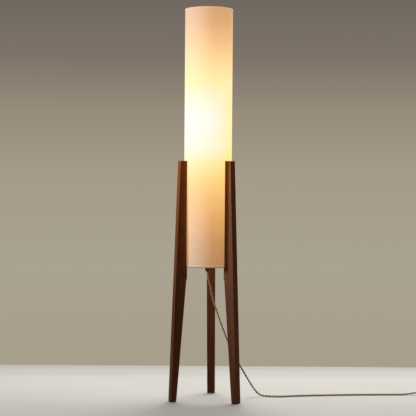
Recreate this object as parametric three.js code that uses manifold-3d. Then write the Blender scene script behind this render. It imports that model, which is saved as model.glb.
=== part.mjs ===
// Tripod floor lamp: a tall fabric drum held between three tapered wooden legs.
// Millimetres, +Z up. The origin is on the floor, in the middle of the tripod's footprint.
import * as THREE from 'three';
import { mergeVertices } from 'three/addons/utils/BufferGeometryUtils.js';
import Module from 'manifold-3d';

const wasm = await Module();
wasm.setup();

// ---- driving dimensions ----
const TOTAL_H = 1200;
const GAP = 0.3; // between pieces that touch
const AXIS_X = 6.7; // where the lamp's axis stands, from the middle of the footprint
const AXIS_Y = -19.5;

const SHADE_R = 73;
const SHADE_BOTTOM = 412;
const FABRIC_T = 0.8;
const LINER_T = 1;
const WIRE_R = 2;
const ROUND = 48; // sides of the drum

const LEG_NAMES = ['right', 'back', 'left'];
const LEG_TURN = [-37.5, 82.5, 202.5]; // degrees about the lamp's axis
const LEG_T = 23;
const LEG_TOP = 736;
const LEG_TOP_R = 94.3; // outer edge at the top
const FOOT_OUT_R = 122;
const FOOT_IN_R = 104;
const KINK_Z = 374; // where the inner edge starts to lean outwards
const LIP = 2; // step under the drum that carries it
const GLIDE_H = 3;
const GLIDE_INSET = 0.5;

const SCREW_R = 2;
const SCREW_HOLE_R = 2.4;
const SCREW_END_R = 88;
const LOW_SCREW_Z = 428;
const HIGH_SCREW_Z = 700;
const HEAD_R = 4;
const HEAD_H = 2.5;
const WASHER_R = 7;
const WASHER_T = 1.5;

const PLATE_Z = 416.8;
const PLATE_T = 2;
const HUB_R = 16;
const ARM_W = 10;
const TAB_TOP = 438;

const STEM_R = 5;
const STEM_BORE_R = 3.9;
const STEM_BOTTOM = 403.8;
const STEM_TOP = 745;
const NUT_FLATS = 14;
const NUT_H = 4.2;

const BULB_SEAT_Z = 776; // tip of the bulb's centre contact
const BULB_R = 30;
const BULB_CENTRE_Z = 852;
const HOLDER_R = 20;

const CORD_R = 3;
const CORD_SIDES = 8;
const CORD_LIE = 3.1; // height of a lying cord's centre
const GRIP_BOTTOM = 396.5;
const CORD_STEP = 15;

const SWITCH_X = 750; // middle of the foot switch
const SWITCH_Y = 86;
const SWITCH_L = 84;
const SWITCH_W = 36;
const SWITCH_CORD_Z = 9;
const SWITCH_BASE_H = 15;
const SWITCH_H = 24;
const SWITCH_WALL = 2.2;
const BUTTON_R = 12;
const BUTTON_TOP = 28;
const SLEEVE_L = 25;

const COIL_X = 876;
const COIL_INNER_R = 30; // centre of the inner turns
const COIL_OUTER_R = 36.4;
const COIL_Y = SWITCH_Y - COIL_INNER_R;
const COIL_Z = 4.7; // centre of the lowest turn
const COIL_H = 15.75; // rise of the inner turns

const PLUG_X = 820; // rear face, on the cord's side
const PLUG_Y = COIL_Y - COIL_OUTER_R;
const PLUG_Z = 7;
const PLUG_L = 36;
const PIN_R = 2;
const PIN_L = 19;
const PIN_Y = 9.3;
const RELIEF_L = 28;

// ---- materials ----
const paint = (color, roughness, metalness = 0) =>
  new THREE.MeshStandardMaterial({ color, roughness, metalness });
const walnut = paint(0x5c3319, 0.45);
const black = paint(0x14110f, 0.5);
const linen = paint(0xf6dcae, 0.9);
const film = paint(0xf4ecdc, 0.6);
const steel = paint(0xb4b4b0, 0.35, 1);
const brass = paint(0xc49a50, 0.3, 1);
const phenolic = paint(0x1c1a18, 0.4);
const ceramic = paint(0xe8e4da, 0.4);
const opal = paint(0xfffaf0, 0.3);
const braid = paint(0x8a6c4c, 0.85);
const core = paint(0x6b4a2c, 0.5);

// ---- helpers ----
const deg = (angle) => THREE.MathUtils.degToRad(angle);
const v2 = (x, y) => new THREE.Vector2(x, y);

function put(parent, name, geometry, material) {
  const mesh = new THREE.Mesh(geometry, material);
  mesh.name = name;
  parent.add(mesh);
  return mesh;
}

// A solid of revolution about Z from [radius, height] points, in either order of travel.
function turned(profile, sides = 24) {
  const area = profile.reduce((sum, [r, z], i) => {
    const [nextR, nextZ] = profile[(i + 1) % profile.length];
    return sum + r * nextZ - nextR * z;
  }, 0);
  const points = profile.map(([r, z]) => v2(r, z));
  if (area < 0) points.reverse();
  const onAxis = points.some((p) => p.x === 0);
  if (!onAxis) points.push(points[0].clone());
  return new THREE.LatheGeometry(points, sides).rotateX(Math.PI / 2);
}

const ring = (inner, outer, low, high, sides) =>
  turned([[inner, low], [outer, low], [outer, high], [inner, high]], sides);

const disc = (radius, low, high, sides) =>
  turned([[0, low], [radius, low], [radius, high], [0, high]], sides);

// A box given by its lowest and highest corners.
function block(low, high) {
  const size = high.map((value, i) => value - low[i]);
  const middle = high.map((value, i) => (value + low[i]) / 2);
  return new THREE.BoxGeometry(...size).translate(...middle);
}

// A round bar along X, from one x to another, at a height z and a sideways place y.
function bar(radius, from, to, z, y = 0, sides = 16) {
  return new THREE.CylinderGeometry(radius, radius, to - from, sides)
    .rotateZ(Math.PI / 2)
    .translate((from + to) / 2, y, z);
}

function roundedOutline(length, width, radius, middle = 0) {
  const x = length / 2 - radius;
  const y = width / 2 - radius;
  const shape = new THREE.Shape();
  shape.absarc(middle + x, y, radius, 0, deg(90));
  shape.absarc(middle - x, y, radius, deg(90), deg(180));
  shape.absarc(middle - x, -y, radius, deg(180), deg(270));
  shape.absarc(middle + x, -y, radius, deg(270), deg(360));
  return shape;
}

const slab = (shape, low, high, curveSegments = 4) =>
  new THREE.ExtrudeGeometry(shape, { depth: high - low, bevelEnabled: false, curveSegments })
    .translate(0, 0, low);

// ---- solids that are cut or joined ----
function solid(geometry) {
  const bare = geometry.clone();
  bare.deleteAttribute('normal');
  bare.deleteAttribute('uv');
  const merged = mergeVertices(bare, 1e-4);
  return new wasm.Manifold(new wasm.Mesh({
    numProp: 3,
    vertProperties: new Float32Array(merged.attributes.position.array),
    triVerts: new Uint32Array(merged.index.array),
  }));
}

function geometryOf(manifold) {
  const mesh = manifold.getMesh();
  const geometry = new THREE.BufferGeometry();
  geometry.setAttribute('position', new THREE.BufferAttribute(mesh.vertProperties, 3));
  geometry.setIndex(new THREE.BufferAttribute(mesh.triVerts, 1));
  geometry.computeVertexNormals();
  return geometry;
}

const cut = (geometry, tools) =>
  geometryOf(tools.reduce((left, tool) => left.subtract(solid(tool)), solid(geometry)));

const join = (first, ...others) =>
  geometryOf(others.reduce((whole, other) => whole.add(solid(other)), solid(first)));

const onLeg = (geometry, turn) => geometry.clone().rotateZ(deg(turn));

// ---- a cord along a curve ----
function circle(radius, sides) {
  const shape = new THREE.Shape();
  for (let i = 0; i < sides; i += 1) {
    const angle = (2 * Math.PI * i) / sides;
    shape[i ? 'lineTo' : 'moveTo'](radius * Math.cos(angle), radius * Math.sin(angle));
  }
  shape.closePath();
  return shape;
}

function tube(points, radius, sides, step) {
  const path = new THREE.CatmullRomCurve3(points.map((p) => new THREE.Vector3(...p)), false,
    'centripetal');
  const steps = Math.max(2, Math.round(path.getLength() / step));
  return new THREE.ExtrudeGeometry(circle(radius, sides), { extrudePath: path, steps });
}

// ---- the lamp ----
const part = new THREE.Group();
const lamp = new THREE.Group();
lamp.position.set(AXIS_X, AXIS_Y, 0);
part.add(lamp);

const screwHoles = LEG_TURN.flatMap((turn) => [LOW_SCREW_Z, HIGH_SCREW_Z].map((z) =>
  onLeg(bar(SCREW_HOLE_R, SHADE_R - 6, SCREW_END_R + GAP, z, 0, 12), turn)));

// Drum: fabric over a stiff liner, with a wire ring inside each end.
const linerR = SHADE_R - FABRIC_T - GAP;
const ringR = linerR - LINER_T - GAP - 0.2 - WIRE_R;
const fabric = ring(SHADE_R - FABRIC_T, SHADE_R, SHADE_BOTTOM, TOTAL_H, ROUND);
const liner = ring(linerR - LINER_T, linerR, SHADE_BOTTOM + 1, TOTAL_H - 1, ROUND);
put(lamp, 'shade_fabric', cut(fabric, screwHoles), linen);
put(lamp, 'shade_liner', cut(liner, screwHoles), film);
for (const [name, z] of [['bottom', SHADE_BOTTOM + 2.5], ['top', TOTAL_H - 4]]) {
  const wire = put(lamp, `shade_ring_${name}`, new THREE.TorusGeometry(ringR, WIRE_R, 6, 36), steel);
  wire.position.z = z;
}

// Legs: flat fins whose inner edge is upright beside the drum and leans out under it.
const legIn = SHADE_R + GAP;
const bottomZ = GLIDE_H + GAP;
const leaning = (top, foot, topZ) => top + ((foot - top) * (topZ - bottomZ)) / topZ;
const legOutline = new THREE.Shape([
  v2(leaning(legIn, FOOT_IN_R, KINK_Z), bottomZ),
  v2(leaning(LEG_TOP_R, FOOT_OUT_R, LEG_TOP), bottomZ),
  v2(LEG_TOP_R, LEG_TOP),
  v2(legIn, LEG_TOP),
  v2(legIn, SHADE_BOTTOM - GAP),
  v2(legIn - LIP, SHADE_BOTTOM - GAP),
  v2(legIn - LIP, KINK_Z),
  v2(legIn, KINK_Z),
]);

function legGeometry() {
  const board = new THREE.ExtrudeGeometry(legOutline, { depth: LEG_T, bevelEnabled: false })
    .rotateX(Math.PI / 2)
    .translate(0, LEG_T / 2, 0);
  const pilots = [LOW_SCREW_Z, HIGH_SCREW_Z].map((z) =>
    bar(SCREW_HOLE_R, SHADE_R - 1, SCREW_END_R + GAP, z, 0, 12));
  return cut(board, pilots);
}

function glideGeometry() {
  const inner = FOOT_IN_R + GLIDE_INSET;
  const outer = FOOT_OUT_R - GLIDE_INSET;
  const width = LEG_T - 2 * GLIDE_INSET;
  return slab(roundedOutline(outer - inner, width, 3, (inner + outer) / 2), 0, GLIDE_H, 2);
}

// A pan-head wood screw along X: the head's inner face is at x = 0.
function screwGeometry(length) {
  const profile = [
    [0, 0], [HEAD_R * 0.7, 0], [HEAD_R, HEAD_H * 0.5], [HEAD_R, HEAD_H], [SCREW_R, HEAD_H],
    [SCREW_R, length - 4], [0, length],
  ];
  return turned(profile, 12).rotateY(Math.PI / 2);
}

const tabOut = linerR - LINER_T - 0.7;
const washerOut = linerR - LINER_T - 0.8;
LEG_NAMES.forEach((name, i) => {
  const side = new THREE.Group();
  side.rotation.z = deg(LEG_TURN[i]);
  lamp.add(side);
  put(side, `leg_${name}`, legGeometry(), walnut);
  put(side, `foot_glide_${name}`, glideGeometry(), black);

  const washer = ring(SCREW_HOLE_R, WASHER_R, 0, WASHER_T, 16).rotateY(Math.PI / 2);
  put(side, `leg_washer_${name}`, washer, steel).position.set(washerOut - WASHER_T, 0, HIGH_SCREW_Z);

  const highHead = washerOut - WASHER_T - GAP - HEAD_H;
  const highScrew = screwGeometry(SCREW_END_R - highHead);
  put(side, `leg_screw_upper_${name}`, highScrew, steel).position.set(highHead, 0, HIGH_SCREW_Z);

  const lowHead = tabOut - PLATE_T - GAP - HEAD_H;
  const lowScrew = screwGeometry(SCREW_END_R - lowHead);
  put(side, `leg_screw_lower_${name}`, lowScrew, steel).position.set(lowHead, 0, LOW_SCREW_Z);
});

// Spider: a hub with three arms, each turned up into a tab that is screwed to a leg.
const plateTop = PLATE_Z + PLATE_T;
const armPieces = LEG_TURN.flatMap((turn) => [
  onLeg(block([HUB_R - 3, -ARM_W / 2, PLATE_Z], [tabOut, ARM_W / 2, plateTop]), turn),
  onLeg(block([tabOut - PLATE_T, -ARM_W / 2, PLATE_Z], [tabOut, ARM_W / 2, TAB_TOP]), turn),
]);
const hub = new THREE.CylinderGeometry(HUB_R, HUB_R, PLATE_T, 24)
  .rotateX(Math.PI / 2)
  .translate(0, 0, PLATE_Z + PLATE_T / 2);
const stemHole = new THREE.CylinderGeometry(STEM_R + GAP, STEM_R + GAP, PLATE_T * 3, 16)
  .rotateX(Math.PI / 2)
  .translate(0, 0, PLATE_Z);
put(lamp, 'spider', cut(join(hub, ...armPieces), [stemHole, ...screwHoles]), steel);

// Stem: a threaded tube through the hub, clamped by a nut on each side.
put(lamp, 'stem_tube', ring(STEM_BORE_R, STEM_R, STEM_BOTTOM, STEM_TOP, 16), steel);

function nutGeometry(low) {
  const shape = circle(NUT_FLATS / Math.sqrt(3), 6);
  shape.holes.push(circle(STEM_R + GAP, 16));
  return slab(shape, low, low + NUT_H);
}
put(lamp, 'stem_nut_lower', nutGeometry(PLATE_Z - GAP - NUT_H), brass);
put(lamp, 'stem_nut_upper', nutGeometry(plateTop + GAP), brass);

// The lead inside the stem, and its two cores up to the lampholder's insert.
const LEAD_TOP = 752;
const INSERT_LOW = 762;
put(lamp, 'stem_lead', disc(CORD_R, GRIP_BOTTOM, LEAD_TOP, CORD_SIDES), braid);
for (const [name, side] of [['live', 1], ['neutral', -1]]) {
  const wire = [[side * 1.4, 0, LEAD_TOP + GAP], [side * 2.4, 0, 755], [side * 5, 0, 758.5],
    [side * 6, 0, INSERT_LOW - GAP]];
  put(lamp, `core_${name}`, tube(wire, 1.1, 8, 2.5), core);
}

// Cord grip: screwed on the lower end of the stem.
put(lamp, 'cord_grip', turned([
  [CORD_R + GAP, GRIP_BOTTOM], [5.4, GRIP_BOTTOM], [6.6, 400.5], [6.6, 411.4], [STEM_R + GAP, 411.4],
  [STEM_R + GAP, STEM_BOTTOM - GAP], [CORD_R + GAP, STEM_BOTTOM - GAP],
], 16), black);

// Lampholder for an E27 screw cap: cap, body, insert, screw shell and centre contact.
const HOLDER_WALL = 2;
const CAP_LOW = 734;
const CAP_TOP = 760;
const BODY_TOP = 806;
const holderIn = HOLDER_R - HOLDER_WALL;
put(lamp, 'holder_cap', turned([
  [STEM_R + GAP, CAP_LOW], [8.5, CAP_LOW], [8.5, 743], [17, 746], [HOLDER_R, 750],
  [HOLDER_R, CAP_TOP], [holderIn, CAP_TOP], [holderIn, 751], [8, 747.5], [STEM_R + GAP, 747.5],
], 20), phenolic);
put(lamp, 'holder_body', turned([
  [holderIn, CAP_TOP + GAP], [HOLDER_R, CAP_TOP + GAP], [HOLDER_R, BODY_TOP - 2],
  [HOLDER_R - 1, BODY_TOP], [16.5, BODY_TOP], [16.5, BODY_TOP - 2], [holderIn, BODY_TOP - 4],
], 20), phenolic);
put(lamp, 'holder_insert', disc(holderIn - GAP - 0.2, INSERT_LOW, 771, 20), ceramic);

const SHELL_LOW = 771 + GAP;
const SHELL_TOP = 799;
put(lamp, 'holder_screw_shell', turned([
  [14.2, SHELL_LOW], [14.9, SHELL_LOW + 2], [14.9, SHELL_TOP - 2], [14.2, SHELL_TOP],
  [13.7, SHELL_TOP], [14.4, SHELL_TOP - 2], [14.4, SHELL_LOW + 2], [13.7, SHELL_LOW],
], 20), brass);

const leaf = new THREE.Shape([
  v2(-9, 771.3), v2(9, 771.3), v2(9, 772), v2(-2, 772), v2(2.5, 775), v2(6, 775), v2(6, 775.7),
  v2(2.2, 775.7), v2(-4, 772), v2(-9, 772),
]);
const leafStrip = new THREE.ExtrudeGeometry(leaf, { depth: 5, bevelEnabled: false })
  .rotateX(Math.PI / 2)
  .translate(0, 2.5, 0);
put(lamp, 'holder_contact', leafStrip, brass);

// Bulb: a pear-shaped opal globe on an E27 cap. It unscrews upwards.
const THREAD_PITCH = 3.629;
function threadProfile(root, crest, low, turns) {
  return Array.from({ length: turns }, (_, i) => [
    [root, low + i * THREAD_PITCH], [crest, low + (i + 0.5) * THREAD_PITCH],
  ]).flat();
}
const BULB_CAP_LOW = 780.3;
const BULB_CAP_TOP = 803.3;
put(lamp, 'bulb_contact', turned([
  [0, BULB_SEAT_Z], [4, BULB_SEAT_Z], [5, BULB_SEAT_Z + 1.4], [7, BULB_SEAT_Z + 1.6],
  [10.5, BULB_CAP_LOW - GAP], [0, BULB_CAP_LOW - GAP],
]), brass);
put(lamp, 'bulb_cap', turned([
  [0, BULB_CAP_LOW], [11, BULB_CAP_LOW], ...threadProfile(12.3, 13.1, BULB_CAP_LOW + 1, 5),
  [12.3, BULB_CAP_LOW + 19.5], [13.1, BULB_CAP_TOP - 2], [13.1, BULB_CAP_TOP], [0, BULB_CAP_TOP],
], 20), steel);

function globeOutline(inset) {
  const neckR = 12.9 - inset;
  const radius = BULB_R - inset;
  const start = deg(-30);
  const joinR = radius * Math.cos(start);
  const joinZ = BULB_CENTRE_Z + radius * Math.sin(start);
  const neckZ = BULB_CAP_TOP + GAP;
  const neck = new THREE.CubicBezierCurve(v2(neckR, neckZ), v2(neckR, neckZ + 14),
    v2(joinR - 8, joinZ - 14), v2(joinR, joinZ)).getPoints(4);
  const DOME_STEPS = 7;
  const dome = Array.from({ length: DOME_STEPS }, (_, i) => {
    const angle = start + ((deg(90) - start) * (i + 1)) / DOME_STEPS;
    const across = i === DOME_STEPS - 1 ? 0 : radius * Math.cos(angle);
    return v2(across, BULB_CENTRE_Z + radius * Math.sin(angle));
  });
  return [...neck, ...dome].map((p) => [p.x, p.y]);
}
put(lamp, 'bulb_globe', turned([...globeOutline(1).reverse(), ...globeOutline(0)], 20), opal);

// ---- mains cord, from the grip to the foot switch ----
const cordRoute = [
  [0, 0, GRIP_BOTTOM - GAP], [0.4, 0.1, 388], [2.5, 0.8, 376], [6, 2, 362], [9.5, 3, 349],
  [13, 4, 332], [19, 6, 306], [28.5, 9, 276], [39.5, 12, 244], [51.5, 16, 212], [64, 20, 180],
  [77.5, 24.5, 150], [91, 28.5, 123], [104, 32, 99], [116.5, 35.5, 78], [129.5, 39.5, 55.5],
  [142.5, 43, 34.5], [152, 45, 21], [161.5, 46, 10.6], [171, 46, 5], [182, 44.5, CORD_LIE],
  [200, 39.5, CORD_LIE], [224, 37, CORD_LIE], [249, 40, CORD_LIE], [275, 47, CORD_LIE],
  [325, 57, CORD_LIE], [376, 63.5, CORD_LIE], [440, 71, CORD_LIE], [504, 77, CORD_LIE],
  [581, 82, CORD_LIE], [618, 84.5, CORD_LIE], [642, 85.7, 5], [662, SWITCH_Y, 8.1],
  [677, SWITCH_Y, SWITCH_CORD_Z], [705, SWITCH_Y, SWITCH_CORD_Z], [733, SWITCH_Y, SWITCH_CORD_Z],
];
put(lamp, 'cord_to_switch', tube(cordRoute, CORD_R, CORD_SIDES, CORD_STEP), braid);

// ---- foot switch, in line with the cord ----
const foot = new THREE.Group();
foot.position.set(SWITCH_X, SWITCH_Y, 0);
lamp.add(foot);
const screwPlaces = [[-28, 11], [28, -11]];
const CORNER_R = 17;
const innerOutline = () => roundedOutline(SWITCH_L - 2 * SWITCH_WALL, SWITCH_W - 2 * SWITCH_WALL,
  CORNER_R - SWITCH_WALL);
const outerOutline = () => roundedOutline(SWITCH_L, SWITCH_W, CORNER_R);
const upright = (radius, low, high, x, y, sides = 12) =>
  new THREE.CylinderGeometry(radius, radius, high - low, sides)
    .rotateX(Math.PI / 2)
    .translate(x, y, (low + high) / 2);

const FLOOR_T = 3;
put(foot, 'switch_base', cut(slab(outerOutline(), 0, SWITCH_BASE_H), [
  slab(innerOutline(), FLOOR_T, SWITCH_BASE_H + 1),
  bar(4.5, -SWITCH_L, SWITCH_L, SWITCH_CORD_Z),
  ...screwPlaces.map(([x, y]) => upright(1.8, -1, FLOOR_T + 1, x, y)),
  ...screwPlaces.map(([x, y]) => upright(3.2, -1, 2, x, y)),
]), black);

const coverLow = SWITCH_BASE_H + GAP;
const coverIn = SWITCH_H - 2;
const coverShell = cut(slab(outerOutline(), coverLow, SWITCH_H), [
  slab(innerOutline(), coverLow - 1, coverIn),
  upright(BUTTON_R + 0.4, coverLow, SWITCH_H + 1, 0, 0, 24),
]);
const bosses = screwPlaces.map(([x, y]) => upright(3.6, coverLow + 0.2, coverIn + 0.5, x, y));
put(foot, 'switch_cover', cut(join(coverShell, ...bosses),
  screwPlaces.map(([x, y]) => upright(1.7, coverLow - 1, 20, x, y))), black);

screwPlaces.forEach(([x, y], i) => {
  const screw = turned([
    [0, 0.3], [2.9, 0.3], [2.9, 1.7], [1.4, 1.7], [1.4, 18], [0, 19],
  ], 12);
  put(foot, `switch_screw_${i + 1}`, screw, steel).position.set(x, y, 0);
});

const MODULE_TOP = 8;
put(foot, 'switch_module', block([-13, -10, FLOOR_T + GAP], [13, 10, MODULE_TOP]), phenolic);

const flangeLow = coverIn - GAP - 1.7;
const BUTTON_CAVITY_TOP = 26;
put(foot, 'switch_button', turned([
  [0, BUTTON_CAVITY_TOP], [10, BUTTON_CAVITY_TOP], [10, flangeLow], [13.6, flangeLow],
  [13.6, coverIn - GAP], [BUTTON_R, coverIn - GAP], [BUTTON_R, BUTTON_TOP - 1.5],
  [BUTTON_R - 1.5, BUTTON_TOP - 0.3], [0, BUTTON_TOP],
]), black);

const SPRING_R = 6;
const SPRING_WIRE_R = 0.6;
const SPRING_TURNS = 4.5;
const springLow = MODULE_TOP + GAP + SPRING_WIRE_R;
const springHigh = BUTTON_CAVITY_TOP - GAP - SPRING_WIRE_R;
const springPath = Array.from({ length: 46 }, (_, i) => {
  const angle = (2 * Math.PI * SPRING_TURNS * i) / 45;
  const z = springLow + ((springHigh - springLow) * i) / 45;
  return [SPRING_R * Math.cos(angle), SPRING_R * Math.sin(angle), z];
});
put(foot, 'switch_spring', tube(springPath, SPRING_WIRE_R, 6, 4.7), steel);

// A tapered rubber sleeve through each end wall.
const wallIn = 38.1;
const wallOut = SWITCH_L / 2 + GAP;
const sleeve = turned([
  [CORD_R + GAP, wallIn - 1.5], [5.2, wallIn - 1.5], [5.2, wallIn], [4.1, wallIn], [4.1, wallOut],
  [6, wallOut], [6, wallOut + 3], [4.2, wallOut + SLEEVE_L], [CORD_R + GAP, wallOut + SLEEVE_L],
], 16).rotateY(Math.PI / 2);
put(foot, 'switch_sleeve_out', sleeve, black).position.z = SWITCH_CORD_Z;
const sleeveIn = put(foot, 'switch_sleeve_in', sleeve, black);
sleeveIn.position.z = SWITCH_CORD_Z;
sleeveIn.rotation.z = Math.PI;

// ---- the rest of the cord, put away in a round coil, and its plug ----
// A straight run that touches a circle ends this far before it, clear of the coil's outside.
const coilOut = COIL_OUTER_R + CORD_R;
const clearance = (radius) => Math.sqrt(coilOut ** 2 - (radius - CORD_R) ** 2) + GAP;

put(lamp, 'cord_to_coil', tube([
  [767, SWITCH_Y, SWITCH_CORD_Z], [790, SWITCH_Y, SWITCH_CORD_Z],
  [818, SWITCH_Y, SWITCH_CORD_Z], [826, SWITCH_Y, 8.4], [834, SWITCH_Y, 6.6],
  [COIL_X - clearance(COIL_INNER_R), SWITCH_Y, COIL_Z + 0.2],
], CORD_R, CORD_SIDES, 8), braid);

const coilLow = COIL_Z - CORD_R;
const coilHigh = COIL_Z + COIL_H + CORD_R;
const coilIn = COIL_INNER_R - CORD_R;
const EDGE = 2;
put(lamp, 'cord_coil', turned([
  [coilIn, coilLow + EDGE], [coilIn + EDGE, coilLow], [coilOut - EDGE, coilLow],
  [coilOut, coilLow + EDGE], [coilOut, coilHigh - EDGE], [coilOut - EDGE, coilHigh],
  [coilIn + EDGE, coilHigh], [coilIn, coilHigh - EDGE],
], 30), braid).position.set(COIL_X, COIL_Y, 0);

const TIE_T = 1.1;
const TIE_W = 9;
const tieIn = [coilIn - 0.9, coilOut + 0.4];
const tieZ = [coilLow - 0.4, coilHigh + 0.4];
const tieBlock = block([tieIn[0] - TIE_T, -TIE_W / 2, tieZ[0] - TIE_T],
  [tieIn[1] + TIE_T, TIE_W / 2, tieZ[1] + TIE_T]);
const tieHole = block([tieIn[0], -TIE_W, tieZ[0]], [tieIn[1], TIE_W, tieZ[1]]);
put(lamp, 'cord_tie', cut(tieBlock, [tieHole]), black).position.set(COIL_X, COIL_Y, 0);

put(lamp, 'cord_to_plug', tube([
  [COIL_X - clearance(COIL_OUTER_R), PLUG_Y, PLUG_Z + 0.4], [PLUG_X + RELIEF_L, PLUG_Y, PLUG_Z],
  [PLUG_X + 12, PLUG_Y, PLUG_Z], [PLUG_X - 4, PLUG_Y, PLUG_Z],
], CORD_R, CORD_SIDES, 8), braid);

const plug = new THREE.Group();
plug.position.set(PLUG_X, PLUG_Y, PLUG_Z);
lamp.add(plug);
const PLUG_BEVEL = 1.5;
const REAR_W = 9;
const FRONT_W = 17.5;
const plugShape = new THREE.Shape();
plugShape.moveTo(0, -REAR_W + 3);
plugShape.lineTo(0, REAR_W - 3);
plugShape.quadraticCurveTo(0, REAR_W, -4, REAR_W + 1);
plugShape.lineTo(-PLUG_L + 12, FRONT_W - 1);
plugShape.quadraticCurveTo(-PLUG_L + 6, FRONT_W, -PLUG_L + 3, FRONT_W - 1);
plugShape.lineTo(-PLUG_L, FRONT_W - 5);
plugShape.lineTo(-PLUG_L, -FRONT_W + 5);
plugShape.lineTo(-PLUG_L + 3, -FRONT_W + 1);
plugShape.quadraticCurveTo(-PLUG_L + 6, -FRONT_W, -PLUG_L + 12, -FRONT_W + 1);
plugShape.lineTo(-4, -REAR_W - 1);
plugShape.quadraticCurveTo(0, -REAR_W, 0, -REAR_W + 3);
const plugSolid = new THREE.ExtrudeGeometry(plugShape, {
  depth: 2 * (PLUG_Z - PLUG_BEVEL), bevelEnabled: true, bevelThickness: PLUG_BEVEL,
  bevelSize: PLUG_BEVEL, bevelOffset: -PLUG_BEVEL, bevelSegments: 2, curveSegments: 4,
}).translate(0, 0, PLUG_BEVEL - PLUG_Z);
const PIN_DEPTH = 6;
put(plug, 'plug_body', cut(plugSolid, [
  bar(CORD_R + GAP, -6, 1, 0),
  bar(PIN_R + GAP, -PLUG_L - 1, -PLUG_L + PIN_DEPTH, 0, PIN_Y, 12),
  bar(PIN_R + GAP, -PLUG_L - 1, -PLUG_L + PIN_DEPTH, 0, -PIN_Y, 12),
]), black);
for (const [name, side] of [['left', 1], ['right', -1]]) {
  const pin = turned([
    [0, 0], [PIN_R, 0], [PIN_R, PIN_L + PIN_DEPTH - 1.5], [PIN_R * 0.6, PIN_L + PIN_DEPTH - 0.4],
    [0, PIN_L + PIN_DEPTH - GAP],
  ], 12).rotateY(-Math.PI / 2);
  put(plug, `plug_pin_${name}`, pin, brass).position.set(-PLUG_L + PIN_DEPTH - GAP, side * PIN_Y, 0);
}
put(plug, 'plug_strain_relief', turned([
  [CORD_R + GAP, GAP], [6, GAP], [6, 4], [4.2, RELIEF_L], [CORD_R + GAP, RELIEF_L],
], 16).rotateY(Math.PI / 2), black);

export default part;
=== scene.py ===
"""Tripod floor lamp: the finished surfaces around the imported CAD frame.

The row frame is in metres, +Z up. Shapes are written in millimetres from the foot of the lamp's
upright axis, and lamp() turns them into the row frame.
"""

from math import atan2, copysign, cos, hypot, pi, radians, sin, sqrt

import bmesh
import bpy
from mathutils import Matrix, Vector


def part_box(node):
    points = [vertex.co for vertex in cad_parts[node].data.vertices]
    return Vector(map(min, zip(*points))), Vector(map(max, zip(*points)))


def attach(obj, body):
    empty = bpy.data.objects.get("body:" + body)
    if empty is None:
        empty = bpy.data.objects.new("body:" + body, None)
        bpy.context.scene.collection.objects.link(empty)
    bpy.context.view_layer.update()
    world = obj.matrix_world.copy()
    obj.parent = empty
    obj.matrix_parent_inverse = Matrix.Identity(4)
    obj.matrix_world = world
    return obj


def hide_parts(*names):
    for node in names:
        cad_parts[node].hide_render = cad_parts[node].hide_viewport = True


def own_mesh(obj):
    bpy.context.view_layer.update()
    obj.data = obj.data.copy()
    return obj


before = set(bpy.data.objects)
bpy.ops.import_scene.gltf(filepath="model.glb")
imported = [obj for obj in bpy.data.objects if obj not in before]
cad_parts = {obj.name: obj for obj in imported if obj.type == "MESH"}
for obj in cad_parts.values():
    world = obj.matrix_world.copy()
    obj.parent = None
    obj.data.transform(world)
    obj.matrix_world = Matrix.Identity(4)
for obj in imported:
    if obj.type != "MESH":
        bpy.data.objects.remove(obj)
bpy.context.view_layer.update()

scene = bpy.context.scene
MM = 0.001
TAU = 2 * pi

shade_low, shade_high = (Vector(corner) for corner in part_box("shade_fabric"))
AXIS = ((shade_low + shade_high) / 2).xy
SHADE_LOW, SHADE_HIGH = shade_low.z / MM, shade_high.z / MM
SHADE_R = 73.0


def lamp(x, y, z):
    """A point given in millimetres from the foot of the lamp's axis."""
    return Vector((AXIS.x + x * MM, AXIS.y + y * MM, z * MM))


def placed(name, data):
    """A new object in the scene."""
    made = bpy.data.objects.new(name, data)
    scene.collection.objects.link(made)
    return made


# ---- camera ----
CAMERA_AT = Vector((0.0075, -3.6735, 0.700))
CAMERA_PITCH = radians(-1.699)
CAMERA_ROLL = radians(0.402)
CAMERA_LENS = 102.7
CAMERA_SENSOR = 36

camera_data = bpy.data.cameras.new("camera")
camera_data.sensor_width = CAMERA_SENSOR
camera_data.lens = CAMERA_LENS
camera = placed("camera", camera_data)
forward = Vector((0, cos(CAMERA_PITCH), sin(CAMERA_PITCH)))
level_up = Vector((0, -sin(CAMERA_PITCH), cos(CAMERA_PITCH)))
across = Vector((cos(CAMERA_ROLL), 0, 0)) + sin(CAMERA_ROLL) * level_up
upward = Vector((-sin(CAMERA_ROLL), 0, 0)) + cos(CAMERA_ROLL) * level_up
turned = Matrix((across, upward, -forward)).transposed()
camera.matrix_world = Matrix.Translation(CAMERA_AT) @ turned.to_4x4()
scene.camera = camera


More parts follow.
